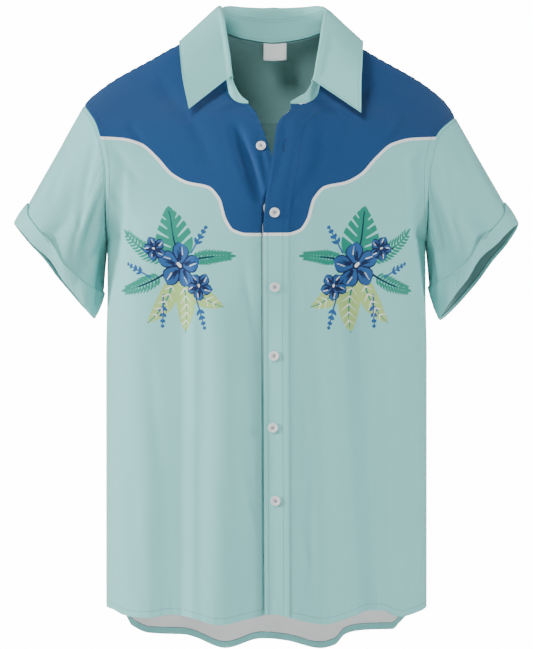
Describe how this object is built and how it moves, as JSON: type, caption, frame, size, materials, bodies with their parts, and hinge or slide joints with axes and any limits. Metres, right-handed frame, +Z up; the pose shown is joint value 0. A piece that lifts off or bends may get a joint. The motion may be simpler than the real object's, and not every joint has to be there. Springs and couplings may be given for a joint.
{
  "type": "hawaiian shirt",
  "caption": "Loose short-sleeved button-through shirt with a fold-over collar, turned-up cuffs, a front band and a longer curved back hem, filled out and hollow.",
  "frame": {"origin": "the middle of the line between the two shoulder seams, where the wearer's shoulders carry the shirt", "axes": "+Z up along the body, -Y out of the buttoned front, +X towards the wearer's left"},
  "size_m": [0.6567, 0.2754, 0.8551],
  "materials": {
    "teal_cloth": "plain woven shirting, pale teal, matt",
    "blue_cloth": "the same shirting, printed deep blue",
    "label_cloth": "white woven tape",
    "button_shell": "off-white, satin"
  },
  "bodies": {
    "root": {"front_right": "teal_cloth", "front_left": "teal_cloth", "front_placket": "teal_cloth", "back": "teal_cloth", "back_yoke": "blue_cloth", "sleeve_right": "teal_cloth", "sleeve_left": "teal_cloth", "cuff_right": "teal_cloth", "cuff_left": "teal_cloth", "collar_stand": "teal_cloth", "collar_leaf": "teal_cloth", "label": "label_cloth", "button_1": "button_shell", "button_2": "button_shell", "button_3": "button_shell", "button_4": "button_shell", "button_5": "button_shell", "button_6": "button_shell"}
  },
  "joints": []
}
